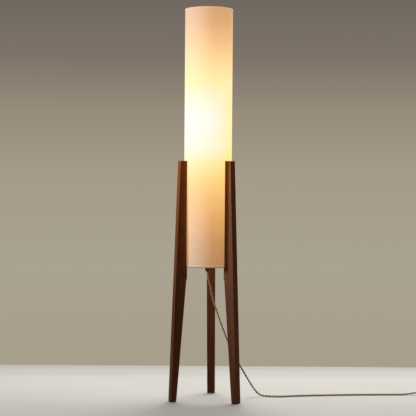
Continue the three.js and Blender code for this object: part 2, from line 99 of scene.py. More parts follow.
# ---- materials ----
class Tree:
    """The nodes of a material or a world, with short ways to add and join them."""

    def __init__(self, owner):
        owner.use_nodes = True
        self.tree = owner.node_tree

    def add(self, kind, inputs=None, **settings):
        node = self.tree.nodes.new("ShaderNode" + kind)
        for key, value in settings.items():
            setattr(node, key, value)
        for key, value in (inputs or {}).items():
            self.join(value, node.inputs[key])
        return node

    def join(self, value, socket):
        if isinstance(value, bpy.types.NodeSocket):
            self.tree.links.new(value, socket)
        else:
            socket.default_value = value

    def shape(self, scale=(1, 1, 1)):
        """Object coordinates, scaled."""
        where = self.add("TexCoord").outputs["Object"]
        return self.add("Mapping", {"Vector": where, "Scale": scale}).outputs[0]

    def laid(self, scale=(1, 1, 1)):
        """The piece's own flat coordinates, scaled: metres on cloth, and on a cord the metres
        along it and the share of the way round."""
        where = self.add("UVMap", uv_map="flat").outputs[0]
        return self.add("Mapping", {"Vector": where, "Scale": scale}).outputs[0]

    def share(self, axis, low, high):
        """0 to 1 between two places in metres along an axis, which is 0, 1 or 2."""
        along = self.add("SeparateXYZ", {0: self.shape()}).outputs[axis]
        return self.add("MapRange", {0: along, 1: low, 2: high}).outputs[0]

    def noise(self, where, scale, detail=3.0, rough=0.5, distortion=0.0):
        node = self.add("TexNoise", {"Vector": where, "Scale": scale, "Detail": detail,
                                     "Roughness": rough, "Distortion": distortion})
        return node.outputs["Fac"]

    def maths(self, operation, *values, clamp=False):
        inputs = dict(enumerate(values))
        return self.add("Math", inputs, operation=operation, use_clamp=clamp).outputs[0]

    def ramp(self, factor, stops, smooth=True):
        """Colours by a factor, from stops of (place, colour)."""
        node = self.add("ValToRGB", {"Fac": factor})
        elements = node.color_ramp.elements
        node.color_ramp.interpolation = "EASE" if smooth else "LINEAR"
        while len(elements) < len(stops):
            elements.new(1.0)
        for element, (place, colour) in zip(elements, stops):
            element.position = place
            element.color = (*colour, 1)
        return node.outputs["Color"]

    def levels(self, factor, stops, smooth=False):
        """Greys by a factor, from stops of (place, level)."""
        return self.ramp(factor, [(place, (level,) * 3) for place, level in stops], smooth)

    def mix(self, factor, first, second, blend="MIX"):
        node = self.add("Mix", {0: factor, 6: first, 7: second}, data_type="RGBA", blend_type=blend)
        return node.outputs[2]

    def product(self, first, second):
        """Two numbers multiplied."""
        return self.maths("MULTIPLY", first, second)

    def times(self, first, second):
        """Two colours multiplied."""
        return self.mix(1.0, first, second, "MULTIPLY")

    def spread(self, value, low, high):
        """A 0 to 1 value as low to high."""
        return self.add("MapRange", {0: value, 3: low, 4: high}).outputs[0]


class Surface(Tree):
    """A material, with values for its shader's sockets."""

    def __init__(self, name, **sockets):
        self.material = bpy.data.materials.new(name)
        super().__init__(self.material)
        self.shader = self.tree.nodes["Principled BSDF"]
        for socket, value in sockets.items():
            self.set(socket.replace("_", " "), value)

    def relief(self, height, strength, distance):
        bump = self.add("Bump", {"Height": height, "Strength": strength, "Distance": distance})
        self.set("Normal", bump.outputs[0])

    def set(self, socket, value):
        self.join(value, self.shader.inputs[socket])


def srgb(code):
    """A six-digit colour code as linear red, green and blue."""
    parts = [int(code[i:i + 2], 16) / 255 for i in (0, 2, 4)]
    return tuple(p / 12.92 if p <= 0.04045 else ((p + 0.055) / 1.055) ** 2.4 for p in parts)


LEG_TOP = 736.0
# Painted light by the share of the leg's height: the shade's glow makes the wood lighter and warmer
# toward its top, and the foot is a little darker.
LEG_PAINTED_GLOW = [(0.0, (0.92, 0.9, 0.92)), (0.55, (1.0, 1.0, 1.0)), (0.72, (1.15, 1.12, 1.0)),
              (0.86, (1.4, 1.32, 0.92)), (1.0, (1.75, 1.6, 0.75))]


def walnut():
    """Open-pored wood with its grain upright. Each pattern is drawn out along the grain."""
    m = Surface("walnut", Specular_IOR_Level=0.14)
    figure = m.noise(m.shape((1, 1, 0.07)), 26, 4, 0.55, 0.4)
    rings = m.add("TexWave", {"Vector": m.shape((1, 0.55, 0.05)), "Scale": 42, "Distortion": 7,
                              "Detail": 3, "Detail Scale": 1.6, "Detail Roughness": 0.6},
                  wave_profile="SAW").outputs["Fac"]
    fibres = m.noise(m.shape((1, 1, 0.014)), 950, 4, 0.6)
    pores = m.maths("GREATER_THAN", m.noise(m.shape((1, 1, 0.035)), 620, 2), 0.64)
    tone = m.maths("ADD", m.product(figure, 0.55), m.product(rings, 0.25))
    tone = m.maths("ADD", tone, m.product(fibres, 0.22), clamp=True)
    colour = m.ramp(tone, [(0.25, srgb("42200c")), (0.5, srgb("643413")), (0.8, srgb("874b20"))])
    colour = m.mix(m.product(pores, 0.55), colour, (*srgb("1f0f07"), 1))
    # painted glow from the shade: the wood's colour lighter and warmer toward the top of the leg
    painted_glow = m.ramp(m.share(2, 0, LEG_TOP * MM), LEG_PAINTED_GLOW, False)
    m.set("Base Color", m.times(colour, painted_glow))
    m.set("Roughness", m.spread(fibres, 0.46, 0.62))
    m.relief(m.maths("SUBTRACT", fibres, m.product(pores, 0.5)), 0.25, 0.0004)
    return m.material


SHADE_GLOW = [  # height up the shade as a share, and the light that comes through there
    (0.00, (0.385, 0.17, 0.035)), (0.106, (0.545, 0.24, 0.05)), (0.182, (0.70, 0.335, 0.083)),
    (0.26, (0.88, 0.475, 0.145)), (0.336, (1.02, 0.64, 0.21)), (0.40, (1.05, 0.82, 0.36)),
    (0.46, (1.05, 0.91, 0.68)), (0.565, (1.05, 0.94, 0.81)), (0.64, (1.05, 0.91, 0.67)),
    (0.72, (1.05, 0.835, 0.39)), (0.795, (1.0, 0.665, 0.272)), (0.87, (0.86, 0.49, 0.19)),
    (0.95, (0.68, 0.345, 0.12)), (1.00, (0.60, 0.305, 0.105)),
]
# Over the bulb the light is yellower toward the right: green and blue that are left, by the share
# of the way across, and how far this holds, by the share of the height.
ACROSS_TINT = [(0.0, 1.0, 1.04), (0.5, 1.0, 1.02), (0.63, 0.995, 0.95), (0.77, 0.983, 0.83),
               (0.93, 0.96, 0.60), (1.0, 0.948, 0.48)]
ACROSS_HOLDS = [(0.28, 0.0), (0.37, 1.0), (0.62, 1.0), (0.72, 0.0)]
# How much of the room's light the cloth gives back, by the share of the height: little by the bulb.
SHADE_SHEEN = [(0.0, 1.0), (0.15, 0.85), (0.28, 0.45), (0.42, 0.3), (0.7, 0.3), (0.86, 0.7),
               (1.0, 1.0)]
# Painted light on a hem, in its colour and its glow, by the share of its height from the shade's
# end.
# below: a painted shadow of the wire ring along the edge, and a painted highlight along the fold
PAINTED_HEM_LOW = [(0.0, 0.12), (0.16, 0.2), (0.24, 1.0), (0.58, 1.0), (0.66, 1.14), (1.0, 1.14)]
# above: a painted highlight along the edge
PAINTED_HEM_HIGH = [(0.0, 1.12), (0.35, 1.12), (0.45, 1.0), (1.0, 1.0)]
HEM_H = 8.0
THREAD = 0.0006  # from one of the cloth's threads to the next, in metres


def weave(m):
    """Height of a plain weave, uneven as spun linen is."""
    wobble = m.product(m.noise(m.laid(), 140, 2), 1.5)
    flat = m.add("SeparateXYZ", {0: m.laid((1 / THREAD, 1 / THREAD, 1))}).outputs
    warp, weft = (m.maths("SINE", m.product(m.maths("ADD", way, wobble), pi)) for way in flat[:2])
    return m.maths("ADD", m.product(m.product(warp, weft), 0.5), 0.5)


def shade_glow(m):
    """The bulb's light on the shade."""
    return m.ramp(m.share(2, SHADE_LOW * MM, SHADE_HIGH * MM), SHADE_GLOW, False)


def linen(name, hem=None):
    """The shade's cloth. In a hem it is folded, and its colour and light get painted shade and
    painted highlight: hem gives these levels, the height of the shade's end and of the hem's edge."""
    m = Surface(name, Roughness=0.85, Sheen_Roughness=0.4, Emission_Strength=1.0)
    share = m.share(2, SHADE_LOW * MM, SHADE_HIGH * MM)
    across = m.share(0, AXIS.x - SHADE_R * MM, AXIS.x + SHADE_R * MM)
    yellow = m.ramp(across, [(at, (1, green, blue)) for at, green, blue in ACROSS_TINT], False)
    tint = m.mix(m.levels(share, ACROSS_HOLDS), (1, 1, 1, 1), yellow)
    slubs, slubs_up = (m.noise(m.laid(scale), 1, 3, 0.6) for scale in ((260, 22, 1), (22, 260, 1)))
    cloth = m.maths("ADD", m.product(slubs, 0.5), m.product(slubs_up, 0.5))
    light = m.times(m.times(shade_glow(m), tint), m.spread(cloth, 0.96, 1.04))
    sheen = m.levels(share, SHADE_SHEEN)
    colour = m.times(m.ramp(cloth, [(0.3, srgb("9b9d9b")), (0.7, srgb("a8aaa8"))]), sheen)
    if hem:
        levels, end, edge = hem
        # painted shadow and painted highlight along the hem, in both the colour and the light
        through = m.levels(m.share(2, end * MM, edge * MM), levels)
        light, colour = m.times(light, through), m.times(colour, through)
    m.set("Emission Color", light)
    m.set("Base Color", colour)
    m.set("Sheen Weight", m.product(sheen, 0.4))
    m.relief(m.maths("ADD", weave(m), m.product(cloth, 1.2)), 0.35, 0.0003)
    return m.material


def film():
    m = Surface("film", Roughness=0.45, Emission_Strength=0.42)
    haze = m.noise(m.shape(), 18)
    m.set("Base Color", m.ramp(haze, [(0.3, srgb("efe4cf")), (0.7, srgb("f8f0e0"))]))
    m.set("Emission Color", shade_glow(m))
    m.relief(m.noise(m.shape(), 90), 0.08, 0.0004)
    return m.material


def metal(name, dark, light, rough):
    """Metal drawn upright, with fine lines and faint stains."""
    m = Surface(name, Metallic=1.0)
    lines = m.noise(m.shape((1, 1, 0.05)), 900, 3, 0.6)
    stain = m.noise(m.shape(), 60, 4, 0.6)
    tone = m.maths("MULTIPLY_ADD", lines, 0.4, m.product(stain, 0.6))
    m.set("Base Color", m.ramp(tone, [(0.3, dark), (0.7, light)]))
    m.set("Roughness", m.spread(lines, rough - 0.07, rough + 0.1))
    m.relief(lines, 0.12, 0.0001)
    return m.material


def moulded(name, dark, light, rough, strength=0.2):
    """Plastic, rubber or ceramic with a fine moulded texture."""
    m = Surface(name)
    tint = m.noise(m.shape(), 45, 4, 0.6)
    m.set("Base Color", m.ramp(tint, [(0.3, srgb(dark)), (0.7, srgb(light))]))
    m.set("Roughness", m.spread(tint, rough - 0.06, rough + 0.08))
    m.relief(m.noise(m.shape(), 2600, 2), strength, 0.0003)
    return m.material


BRAID_PITCH = 0.0018  # along the cord from one crossing of its threads to the next, in metres
BRAID_THREADS = 8  # round the cord


def braid():
    """Textile sleeving: fine crossed threads in two beiges, with painted shade between the two
    strands.
    """
    m = Surface("braid", Roughness=0.8, Sheen_Weight=0.35, Sheen_Roughness=0.4)
    flat = m.add("SeparateXYZ", {0: m.laid((1 / BRAID_PITCH, BRAID_THREADS, 1))}).outputs
    one, two = (m.maths("SINE", m.product(m.maths(way, flat[0], flat[1]), TAU))
                for way in ("ADD", "SUBTRACT"))
    crossed = m.maths("MULTIPLY_ADD", m.maths("MAXIMUM", one, two), 0.5, 0.5)
    tint = m.product(m.noise(m.shape(), 70), 0.3)
    colour = m.ramp(m.maths("MULTIPLY_ADD", crossed, 0.7, tint),
                    [(0.25, srgb("a87c50")), (0.6, srgb("dcae7a")), (0.9, srgb("f6d8a8"))])
    # painted shade in the hollow between the two strands
    strands = m.maths("COSINE", m.product(flat[1], 2 * TAU / BRAID_THREADS))
    m.set("Base Color", m.mix(m.spread(strands, 0.6, 0.0), colour, (*srgb("4a3322"), 1)))
    m.relief(crossed, 0.5, 0.0002)
    return m.material


def opal():
    m = Surface("opal", Roughness=0.18, Emission_Strength=3.0, Coat_Weight=0.6)
    haze = m.noise(m.shape(), 70)
    m.set("Base Color", m.ramp(haze, [(0.3, srgb("f6ead2")), (0.7, srgb("fff8ea"))]))
    m.set("Emission Color", m.ramp(haze, [(0.3, (1.0, 0.80, 0.50)), (0.7, (1.0, 0.88, 0.62))]))
    return m.material


WALNUT = walnut()
LINEN = linen("linen")
HEM_BELOW = linen("hem_below", (PAINTED_HEM_LOW, SHADE_LOW, SHADE_LOW + HEM_H))
HEM_ABOVE = linen("hem_above", (PAINTED_HEM_HIGH, SHADE_HIGH, SHADE_HIGH - HEM_H))
FILM = film()
STEEL = metal("steel", (0.45, 0.45, 0.44), (0.70, 0.70, 0.68), 0.32)
NICKEL = metal("nickel", (0.55, 0.54, 0.50), (0.78, 0.76, 0.72), 0.25)
BRASS = metal("brass", (0.52, 0.34, 0.12), (0.80, 0.60, 0.28), 0.28)
BLACK = moulded("black_plastic", "15120f", "26221e", 0.45)
PHENOLIC = moulded("phenolic", "17120e", "2a231c", 0.32, 0.08)
RUBBER = moulded("rubber", "141210", "221f1c", 0.7, 0.3)
PAD = moulded("glide_pad", "060505", "0e0c0b", 0.85, 0.5)
CERAMIC = moulded("ceramic", "d9d3c6", "efeadf", 0.3, 0.05)
CORE = moulded("core", "4e331d", "73502f", 0.4, 0.05)
BRAID = braid()
OPAL = opal()


# ---- meshes ----
MERGE = 1e-7  # vertices this close, in metres, are one


def piece(name, shape, material, replaced=(), body="lamp", crease=35, bevel=0.0, segments=2):
    """A mesh object that rides on a body.

    shape is its vertices and faces, and for some materials also a function that gives each
    corner's flat coordinates. Edges sharper than crease degrees stay sharp and take the bevel.
    """
    verts, faces, *flat = shape
    mesh = bpy.data.meshes.new(name)
    mesh.from_pydata([tuple(v) for v in verts], [], faces)
    for coordinates in flat:
        layer = mesh.uv_layers.new(name="flat")
        for loop in mesh.loops:
            layer.data[loop.index].uv = coordinates(loop)
    soften = bmesh.new()
    soften.from_mesh(mesh)
    bmesh.ops.remove_doubles(soften, verts=soften.verts, dist=MERGE)
    bmesh.ops.recalc_face_normals(soften, faces=soften.faces)
    for face in soften.faces:
        face.smooth = True
    for edge in soften.edges:
        edge.smooth = edge.calc_face_angle(0.0) < radians(crease)
    soften.to_mesh(mesh)
    soften.free()
    for one in material if isinstance(material, list) else [material]:
        mesh.materials.append(one)
    made = placed(name, mesh)
    if bevel:
        edges = made.modifiers.new("edges", "BEVEL")
        edges.width = bevel * MM
        edges.segments = segments
        edges.limit_method = "ANGLE"
        edges.angle_limit = radians(crease)
        edges.harden_normals = True
    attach(made, body)
    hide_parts(*replaced)
    return made


def band(first, second, sides):
    """Faces between two rings of vertices, which begin at these numbers."""
    return [[first + k, first + (k + 1) % sides, second + (k + 1) % sides, second + k]
            for k in range(sides)]


def skin(rings, sides, closed=False):
    """Faces through rings of vertices, one after another. closed joins the last to the first."""
    joined = rings if closed else rings - 1
    return [face for i in range(joined) for face in band(i * sides, (i + 1) % rings * sides, sides)]


def caps(count, sides):
    """Faces that close the first and the last ring of a skin with that many vertices."""
    return [list(range(sides)), list(range(count - sides, count))]


def circle(radius, sides):
    return [(radius * cos(TAU * k / sides), radius * sin(TAU * k / sides)) for k in range(sides)]


def rectangle(x0, y0, x1, y1):
    return [(x0, y0), (x1, y0), (x1, y1), (x0, y1)]


def round_rectangle(x0, y0, x1, y1, radius, steps):
    """Points round a rectangle whose corners are arcs."""
    x0, y0, x1, y1 = x0 + radius, y0 + radius, x1 - radius, y1 - radius
    out = []
    for x, y, first in ((x1, y1, 0), (x0, y1, 90), (x0, y0, 180), (x1, y0, 270)):
        for k in range(steps + 1):
            angle = radians(first + 90 * k / steps)
            out.append((x + radius * cos(angle), y + radius * sin(angle)))
    return out


def lathe(profile, sides, place, ripple=None):
    """Vertices and faces of a turned solid. profile is a closed outline of (radius, height), and
    place turns a point of the solid into the row frame. ripple gives a radius at an angle."""
    verts, rings = [], []
    for radius, height in profile:
        count = 1 if radius < 1e-6 else sides
        rings.append(range(len(verts), len(verts) + count))
        for k in range(count):
            angle = TAU * k / sides
            reach = ripple(angle, radius, height) if ripple else radius
            verts.append(place(reach * cos(angle), reach * sin(angle), height))
    faces = []
    for low, high in zip(rings, [*rings[1:], rings[0]]):
        for k in range(sides):
            ends = [low[k % len(low)], low[(k + 1) % len(low)],
                    high[(k + 1) % len(high)], high[k % len(high)]]
            face = list(dict.fromkeys(ends))
            if len(face) > 2:
                faces.append(face)
    return verts, faces


def rounded(profile, radius, steps=3):
    """A closed outline with its corners rounded, except those on the axis and the flat ones."""
    out = []
    for i, (x, y) in enumerate(profile):
        corner = Vector((x, y))
        before = Vector(profile[i - 1]) - corner
        after = Vector(profile[(i + 1) % len(profile)]) - corner
        room = min(radius, before.length * 0.45, after.length * 0.45)
        if x < 1e-6 or room < 1e-4 or before.angle(after, pi) > radians(172):
            out.append((x, y))
            continue
        start = corner + before.normalized() * room
        end = corner + after.normalized() * room
        for k in range(steps + 1):
            t = k / steps
            out.append(tuple(start * (1 - t) ** 2 + corner * 2 * t * (1 - t) + end * t ** 2))
    return out


def upright(x=0.0, y=0.0, z=0.0):
    """place for a solid turned about an upright line."""
    return lambda a, b, c: lamp(x + a, y + b, z + c)


def lying(x, y, z, facing=1):
    """place for a solid turned about a line along X, whose heights run along facing times X."""
    return lambda a, b, c: lamp(x + facing * c, y + a, z + b)


def radial(turn, z=0.0, start=0.0):
    """place for a solid turned about a line that runs outwards, from start, at that turn."""
    x, y = cos(radians(turn)), sin(radians(turn))
    return lambda a, b, c: lamp((start + c) * x - a * y, (start + c) * y + a * x, z + b)


def on_leg(turn):
    """place for a flat outline of (reach, height) along a leg, by its depth across the leg."""
    outwards = radial(turn)
    return lambda reach, z, side: outwards(side, z, reach)


def shells(*parts):
    """Several sets of vertices and faces as one."""
    verts, faces = [], []
    for some_verts, some_faces in parts:
        faces += [[i + len(verts) for i in face] for face in some_faces]
        verts += some_verts
    return verts, faces


def extruded(outline, low, high, place):
    """A prism: a flat outline between two depths, each point by place(x, y, depth)."""
    count = len(outline)
    verts = [place(x, y, depth) for depth in (low, high) for x, y in outline]
    return verts, [list(range(count))[::-1], list(range(count, 2 * count)), *skin(2, count)]


# ---- cords ----
CORD_STEP = 1.4
CORD_SIDES = 24
TWIST = 22.0  # length of one turn of the two strands
STRAND_R = 1.9
STRAND_OFF = 1.1  # from the cord's middle to a strand's
WAIST_R = 1.9  # where the braid bridges the two strands


def smooth_path(points, step):
    """Points about a step apart along a centripetal Catmull-Rom curve, as the CAD tube has it."""
    ends = [2 * points[0] - points[1], *points, 2 * points[-1] - points[-2]]
    fine = []
    for p0, p1, p2, p3 in zip(ends, ends[1:], ends[2:], ends[3:]):
        t1 = (p1 - p0).length ** 0.5
        t2 = t1 + (p2 - p1).length ** 0.5
        t3 = t2 + (p3 - p2).length ** 0.5
        pieces = max(2, round((p2 - p1).length / (step * MM) * 2))
        for k in range(pieces):
            t = t1 + (t2 - t1) * k / pieces
            a1 = p0.lerp(p1, t / t1)
            a2 = p1.lerp(p2, (t - t1) / (t2 - t1))
            a3 = p2.lerp(p3, (t - t2) / (t3 - t2))
            b1 = a1.lerp(a2, t / t2)
            b2 = a2.lerp(a3, (t - t1) / (t3 - t1))
            fine.append(b1.lerp(b2, (t - t1) / (t2 - t1)))
    fine.append(points[-1])
    total = sum((b - a).length for a, b in zip(fine, fine[1:]))
    count = round(total / (step * MM))
    out, done, i = [], 0.0, 0
    for k in range(count + 1):
        want = total * k / count
        while i < len(fine) - 2 and done + (fine[i + 1] - fine[i]).length < want:
            done += (fine[i + 1] - fine[i]).length
            i += 1
        span = (fine[i + 1] - fine[i]).length
        out.append(fine[i].lerp(fine[i + 1], min(1.0, (want - done) / span)))
    return out


def frames(path):
    """(point, side, side) along a path, without twist."""
    heading = (path[1] - path[0]).normalized()
    side = heading.orthogonal().normalized()
    out = []
    for i, point in enumerate(path):
        ahead = (path[min(i + 1, len(path) - 1)] - path[max(i - 1, 0)]).normalized()
        side = heading.rotation_difference(ahead) @ side
        side = (side - ahead * side.dot(ahead)).normalized()
        heading = ahead
        out.append((point, side, heading.cross(side)))
    return out


def cord_reach(share):
    """Radius of the cord at a share of the way round: two twisted strands under one braid."""
    along_pair, across_pair = cos(TAU * share), sin(TAU * share)
    strand = (STRAND_R ** 2 - (STRAND_OFF * across_pair) ** 2) ** 0.5
    return max(WAIST_R, STRAND_OFF * abs(along_pair) + strand)


def tube(path, reach, sides, twist=0.0):
    """A skin about a path, its radius by the share of the way round. twist is one turn's length.

    Also gives the flat coordinates of a corner: along the path, and the share round it.
    """
    verts, places = [], []
    travelled, before = 0.0, path[0]
    for point, one, two in frames(path):
        travelled += (point - before).length
        before = point
        turn = TAU * travelled / (twist * MM) if twist else 0.0
        for k in range(sides):
            angle = turn + TAU * k / sides
            way = one * cos(angle) + two * sin(angle)
            verts.append(point + reach(k / sides) * MM * way)
            places.append((travelled, k / sides))

    def flat(loop):
        along, around = places[loop.vertex_index]
        closing = loop.index // 4 % sides == sides - 1  # this face joins the last side to the first
        return along, 1.0 if closing and around == 0 else around

    return verts, [*skin(len(path), sides), *caps(len(verts), sides)], flat


def wire(path, radius, sides):
    """A plain round tube about a path."""
    return tube(path, lambda share: radius, sides)[:2]


def cord_piece(name, path, nodes):
    shape = tube(path, cord_reach, CORD_SIDES, TWIST)
    return piece(name, shape, BRAID, nodes, crease=60)


route_to_switch = [lamp(*p) for p in [
    (0, 0, 396.2), (0.4, 0.1, 388), (2.5, 0.8, 376), (6, 2, 362), (9.5, 3, 349), (13, 4, 332),
    (19, 6, 306), (28.5, 9, 276), (39.5, 12, 244), (51.5, 16, 212), (64, 20, 180),
    (77.5, 24.5, 150), (91, 28.5, 123), (104, 32, 99), (116.5, 35.5, 78), (129.5, 39.5, 55.5),
    (142.5, 43, 34.5), (152, 45, 21), (161.5, 46, 10.6), (171, 46, 5), (182, 44.5, 3.1),
    (200, 39.5, 3.1), (224, 37, 3.1), (249, 40, 3.1), (275, 47, 3.1), (325, 57, 3.1),
    (376, 63.5, 3.1), (440, 71, 3.1), (504, 77, 3.1), (581, 82, 3.1), (618, 84.5, 3.1),
    (642, 85.7, 5), (662, 86, 8.1), (677, 86, 9), (705, 86, 9), (733, 86, 9),
]]
COIL = (876, 56)
COIL_STEPS = 16  # points in a turn
COIL_START = 0.25  # where the first turn begins, in turns from +X
INNER_TURNS, OUTER_TURNS = 2.5, 2.0
INNER_R, OUTER_R = 30.0, 36.4
COIL_LOW, COIL_TOP, COIL_END = 4.7, 20.45, 7.85
CROSSING = 1 / 3  # turns taken to pass from the inner turns to the outer


def coil_points():
    """Up the inner turns and down the outer ones, clockwise from above."""
    points = []
    for k in range(int(COIL_STEPS * (INNER_TURNS + OUTER_TURNS)) + 1):
        turns = k / COIL_STEPS
        outer = max(0.0, turns - INNER_TURNS)
        out = min(1.0, outer / CROSSING)
        radius = INNER_R + (OUTER_R - INNER_R) * out * out * (3 - 2 * out)
        up = min(1.0, turns / INNER_TURNS)
        down = max(0.0, (outer - CROSSING) / (OUTER_TURNS - CROSSING))
        z = COIL_LOW + (COIL_TOP - COIL_LOW) * up + (COIL_END - COIL_TOP) * down
        angle = TAU * (COIL_START - turns)
        points.append(lamp(COIL[0] + radius * cos(angle), COIL[1] + radius * sin(angle), z))
    return points


route_to_plug = [
    *(lamp(*p) for p in [(767, 86, 9), (790, 86, 9), (818, 86, 9), (826, 86, 8.4), (834, 86, 6.6),
                         (847, 86, 4.9)]),
    *coil_points(),
    *(lamp(*p) for p in [(862, 19.6, 7.4), (848, 19.6, 7), (832, 19.6, 7), (816, 19.6, 7)]),
]
path_to_switch = smooth_path(route_to_switch, CORD_STEP)
path_to_plug = smooth_path(route_to_plug, CORD_STEP)
cord_one = cord_piece("cord_to_switch_braid", path_to_switch, ["cord_to_switch"])
cord_two = cord_piece("cord_to_plug_braid", path_to_plug,
                      ["cord_to_coil", "cord_coil", "cord_to_plug"])

# ---- shade ----
SHADE_SIDES = 192
CLOTH_ROWS = 24
CLOTH_T = 0.8
EDGE_GAP = 0.02  # a hem's edge stands this far off the cloth, and the seam's edge this far in it
FOLD_T = 0.25
SEAM_TURN = 100.0  # degrees about the axis, at the back
SEAM_HALF = 4.4  # degrees, half its width


def drum(name, profile, sides, material, nodes=()):
    verts, faces = lathe(profile, sides, upright())
    return piece(name, (verts, faces, flat_round(verts)), material, nodes)


def flat_round(verts):
    """Flat coordinates on the shade: length round it, and height."""
    def flat(loop):
        point = verts[loop.vertex_index]
        return atan2(point.y - AXIS.y, point.x - AXIS.x) * SHADE_R * MM, point.z
    return flat


def hem_outline(end, inward):
    """Section of a hem: cloth folded over the shade's end. inward is 1 or -1 along the height."""
    near, far, inner = SHADE_R + EDGE_GAP, SHADE_R + EDGE_GAP + FOLD_T, SHADE_R - 1.4
    return rounded([(r, end + inward * z) for r, z in (
        (near, HEM_H), (far, HEM_H - 0.4), (far, 0.5), (SHADE_R - 0.2, -0.1), (inner, -0.1),
        (inner, 0.05), (near, 0.05))], 0.2)


def seam_strip():
    """The cloth's overlap down the back: a thin strip on the drum."""
    steps = 8
    near, far = SHADE_R - EDGE_GAP, SHADE_R + 0.28
    low, high = SHADE_LOW + HEM_H, SHADE_HIGH - HEM_H
    verts = []
    for radius, z in ((near, low), (far, low + 0.2), (far, high - 0.2), (near, high)):
        for k in range(steps + 1):
            angle = radians(SEAM_TURN + SEAM_HALF * (2 * k / steps - 1))
            reach = near if k in (0, steps) else radius
            verts.append(lamp(reach * cos(angle), reach * sin(angle), z))
    count = steps + 1
    faces = [face for face in skin(4, count, closed=True) if face[1] > face[0]]
    faces += [[i * count + k for i in range(4)] for k in (0, steps)]
    return verts, faces, flat_round(verts)


heights = [SHADE_LOW + (SHADE_HIGH - SHADE_LOW) * k / CLOTH_ROWS for k in range(CLOTH_ROWS + 1)]
cloth = drum("shade_cloth", [(SHADE_R, z) for z in heights]
             + [(SHADE_R - CLOTH_T, z) for z in heights[::-1]],
             SHADE_SIDES, LINEN, ["shade_fabric"])
drum("shade_film", rounded(rectangle(70.9, SHADE_LOW + 1, 71.9, SHADE_HIGH - 1), 0.3), 160, FILM,
     ["shade_liner"])
hem_low = drum("hem_lower", hem_outline(SHADE_LOW, 1), SHADE_SIDES, HEM_BELOW)
hem_high = drum("hem_upper", hem_outline(SHADE_HIGH, -1), SHADE_SIDES, HEM_ABOVE)
seam = piece("seam", seam_strip(), LINEN)

for end in ("bottom", "top"):
    ring_low, ring_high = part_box(f"shade_ring_{end}")
    wire_r = (ring_high[2] - ring_low[2]) / 2 / MM
    ring_r = (ring_high[0] - ring_low[0]) / 2 / MM - wire_r
    middle = (ring_high[2] + ring_low[2]) / 2 / MM
    section = [(ring_r + x, middle + z) for x, z in circle(wire_r, 16)]
    piece(f"wire_ring_{end}", lathe(section, 128, upright()), STEEL,
          [f"shade_ring_{end}"], crease=60)

# ---- legs ----
LEG_TURNS = {"right": -37.5, "back": 82.5, "left": 202.5}
LEG_T = 23.0
LEG_EDGE = 1.4
LEG_FOOT, STEP_FOOT, STEP_TOP = 3.3, 374.0, 411.7
LEG_OUTLINE = [(103.73, LEG_FOOT), (121.88, LEG_FOOT), (94.3, LEG_TOP), (73.3, LEG_TOP),
               (73.3, STEP_TOP), (71.3, STEP_TOP), (71.3, STEP_FOOT), (73.3, STEP_FOOT)]
GLIDE_IN, GLIDE_OUT, GLIDE_W, GLIDE_H = 104.5, 121.5, 22.0, 3.0
UPPER_SCREW, LOWER_SCREW = 700.0, 428.0  # their heights
SCREW_END = 88.0  # how far out the leg screws reach


def hexagon(radius, sides=24):
    """Points round a hexagon, given by the radius of its corners."""
    out = []
    for k in range(sides):
        angle = TAU * k / sides
        slope = (angle % (TAU / 6)) - TAU / 12
        reach = radius * cos(TAU / 12) / cos(slope)
        out.append((reach * cos(angle), reach * sin(angle)))
    return out


def socket_screw(length, head_r, head_h, shank_r, place, sides=24):
    """A pan-head screw with a hexagonal recess. The head's outer face is at height 0."""
    outline = [(0.55 * head_r, 0.0), (0.8 * head_r, 0.12 * head_h), (0.95 * head_r, 0.35 * head_h),
               (head_r, 0.7 * head_h), (head_r, head_h), (shank_r, head_h)]
    pitch, z = 1.2, head_h
    while z + pitch < length - 3:
        outline += [(shank_r, z + 0.35 * pitch), (0.78 * shank_r, z + 0.7 * pitch)]
        z += pitch
    outline += [(0.6 * shank_r, length - 2), (0.0, length)]
    verts, faces = lathe(outline, sides, place)
    tip = len(verts) - 1
    faces = [f for f in faces if not (tip in f and min(f) < sides)]  # leaves the head's face open
    recess = len(verts)
    for depth in (0.0, 0.55 * head_h):
        verts += [place(x, y, depth) for x, y in hexagon(0.42 * head_r, sides)]
    faces += band(0, recess, sides) + band(recess, recess + sides, sides)
    faces.append([recess + sides + k for k in range(sides)])
    return verts, faces


for name, turn in LEG_TURNS.items():
    leg = on_leg(turn)
    piece(f"walnut_leg_{name}", extruded(LEG_OUTLINE, -LEG_T / 2, LEG_T / 2, leg), WALNUT,
          [f"leg_{name}"], bevel=LEG_EDGE, segments=4)
    pad = rounded(rectangle(GLIDE_IN, -GLIDE_W / 2, GLIDE_OUT, GLIDE_W / 2), 1.5, 4)
    piece(f"pad_{name}", extruded(pad, 0, GLIDE_H, lambda r, side, z: leg(r, z, side)), PAD,
          [f"foot_glide_{name}"], bevel=0.5, segments=3)
    washer = lathe(rounded(rectangle(2.4, 68.6, 7, 70.1), 0.3), 32, radial(turn, UPPER_SCREW))
    piece(f"washer_{name}", washer, STEEL, [f"leg_washer_{name}"])
    for level, z, start in (("upper", UPPER_SCREW, 65.8), ("lower", LOWER_SCREW, 65.4)):
        screw = socket_screw(SCREW_END - start, 4, 2.5, 2, radial(turn, z, start))
        piece(f"screw_{level}_{name}", screw, STEEL, [f"leg_screw_{level}_{name}"])

# ---- spider, stem and nuts ----
PLATE_LOW, PLATE_TOP = 416.8, 418.8
ARM_LOW, ARM_T, ARM_W, ARM_BEND = 416.85, 1.9, 10.0, 3.0
TAB_OUT, TAB_TOP = 70.2, 438.0
HUB_R, STEM_HOLE = 16.0, 5.3
STEM_LOW, STEM_TOP, STEM_SIDES = 403.8, 745.0, 16
STEM_ROWS = 4 * round(STEM_TOP - STEM_LOW)


